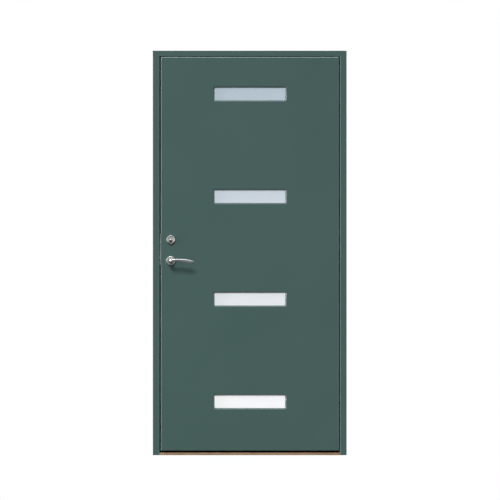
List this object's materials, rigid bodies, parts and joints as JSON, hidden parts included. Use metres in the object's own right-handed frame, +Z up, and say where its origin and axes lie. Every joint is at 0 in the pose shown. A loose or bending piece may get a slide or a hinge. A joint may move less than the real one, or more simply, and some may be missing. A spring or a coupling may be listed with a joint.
{
  "type": "front door with frame",
  "caption": "Outward-opening front door in its rebated timber frame, with a column of slim glazed lights, lever handles, a keyed dead bolt with thumbturn and concealed hinges.",
  "frame": {"origin": "middle of the threshold's underside, halfway through the frame's depth", "axes": "+X to the right as seen from outside, +Y inward, from the outside face to the inside, +Z up"},
  "size_m": [0.99, 0.1806, 2.066],
  "materials": {
    "painted_timber": "satin paint",
    "bare_timber": "planed",
    "oak": "oiled oak",
    "rigid_foam": "matt",
    "light_trim": "satin paint",
    "opal_glass": "opal",
    "spacer_bar": "mill",
    "seal_rubber": "matt",
    "wear_aluminium": "brushed",
    "satin_steel": "satin",
    "plated_steel": "zinc plated",
    "nickel_brass": "nickel plated"
  },
  "bodies": {
    "frame": {"lock_jamb": "painted_timber", "hinge_jamb": "painted_timber", "head": "painted_timber", "threshold": "oak", "wear_strip": "wear_aluminium", "weather_seal": "seal_rubber", "corner_screws": "plated_steel", "fixing_sleeves": "plated_steel", "strike_plate": "satin_steel", "jamb_hardware_screws": "plated_steel", "hinge_1_frame_cup": "plated_steel", "hinge_2_frame_cup": "plated_steel", "hinge_3_frame_cup": "plated_steel"},
    "leaf": {"outer_skin": "painted_timber", "inner_skin": "painted_timber", "lock_stile": "bare_timber", "hinge_stile": "bare_timber", "bottom_rail": "bare_timber", "top_rail": "bare_timber", "insulation_core": "rigid_foam", "light_1_outer_trim": "light_trim", "light_1_inner_trim": "light_trim", "light_1_panes": "opal_glass", "light_1_spacers": "spacer_bar", "light_2_outer_trim": "light_trim", "light_2_inner_trim": "light_trim", "light_2_panes": "opal_glass", "light_2_spacers": "spacer_bar", "light_3_outer_trim": "light_trim", "light_3_inner_trim": "light_trim", "light_3_panes": "opal_glass", "light_3_spacers": "spacer_bar", "light_4_outer_trim": "light_trim", "light_4_inner_trim": "light_trim", "light_4_panes": "opal_glass", "light_4_spacers": "spacer_bar", "faceplate": "satin_steel", "lock_case": "plated_steel", "leaf_hardware_screws": "plated_steel", "cylinder_ring": "satin_steel", "cylinder_body": "nickel_brass", "thumbturn_rose": "satin_steel", "outer_rose": "satin_steel", "inner_rose": "satin_steel", "hinge_1_leaf_cup": "plated_steel", "hinge_2_leaf_cup": "plated_steel", "hinge_3_leaf_cup": "plated_steel"},
    "levers": {"outer_lever": "satin_steel", "inner_lever": "satin_steel", "spindle": "plated_steel", "follower": "plated_steel"},
    "latch": {"latch_bolt": "plated_steel"},
    "dead_bolt_slider": {"dead_bolt": "plated_steel"},
    "thumbturn_with_cam": {"thumbturn": "satin_steel", "lock_cam": "plated_steel"},
    "plug": {"key_plug": "nickel_brass"},
    "jamb_long": {"jamb_long_links": "plated_steel"},
    "jamb_short": {"jamb_short_links": "plated_steel"},
    "stile_long": {"stile_long_links": "plated_steel"},
    "stile_short": {"stile_short_links": "plated_steel"}
  },
  "joints": [
    {"name": "door_swing", "type": "hinge", "parent": "frame", "child": "leaf", "pos_m": [0.4581, -0.051, 1.02], "axis": [0, 0, 1], "range_deg": [0, 100]},
    {"name": "lever_turn", "type": "hinge", "parent": "leaf", "child": "levers", "pos_m": [-0.4028, 0, 0.993], "axis": [0, 1, 0], "range_deg": [0, 40], "stiffness_Nm_per_rad": 1.5, "springref_deg": -57.3},
    {"name": "latch_slide", "type": "slide", "parent": "leaf", "child": "latch", "axis": [1, 0, 0], "range_m": [0, 0.011]},
    {"name": "thumbturn_turn", "type": "hinge", "parent": "leaf", "child": "thumbturn_with_cam", "pos_m": [-0.4028, 0, 1.09], "axis": [0, 1, 0], "range_deg": [0, 90]},
    {"name": "dead_bolt_slide", "type": "slide", "parent": "leaf", "child": "dead_bolt_slider", "axis": [-1, 0, 0], "range_m": [0, 0.02]},
    {"name": "key_plug_turn", "type": "hinge", "parent": "leaf", "child": "plug", "pos_m": [-0.4028, -0.0525, 1.09], "axis": [0, 1, 0], "range_deg": [0, 90]},
    {"name": "jamb_long_turn", "type": "hinge", "parent": "frame", "child": "jamb_long", "pos_m": [0.46494, -0.03221, 1.02], "axis": [0, 0, 1], "range_deg": [0, 100]},
    {"name": "jamb_short_turn", "type": "hinge", "parent": "frame", "child": "jamb_short", "pos_m": [0.46802, -0.02375, 1.02], "axis": [0, 0, 1], "range_deg": [0, 100]},
    {"name": "stile_long_turn", "type": "hinge", "parent": "leaf", "child": "stile_long", "pos_m": [0.45126, -0.03221, 1.02], "axis": [0, 0, 1], "range_deg": [-100, 0]},
    {"name": "stile_short_turn", "type": "hinge", "parent": "leaf", "child": "stile_short", "pos_m": [0.44818, -0.02375, 1.02], "axis": [0, 0, 1], "range_deg": [-100, 0]}
  ],
  "couplings": [
    {"joint": "latch_slide", "follows": "lever_turn", "m_per_rad": 0.015755},
    {"joint": "thumbturn_turn", "follows": "dead_bolt_slide", "rad_per_m": 78.539},
    {"joint": "jamb_long_turn", "follows": "door_swing", "ratio": 1},
    {"joint": "jamb_short_turn", "follows": "door_swing", "ratio": 1},
    {"joint": "stile_long_turn", "follows": "door_swing", "ratio": -1},
    {"joint": "stile_short_turn", "follows": "door_swing", "ratio": -1}
  ]
}
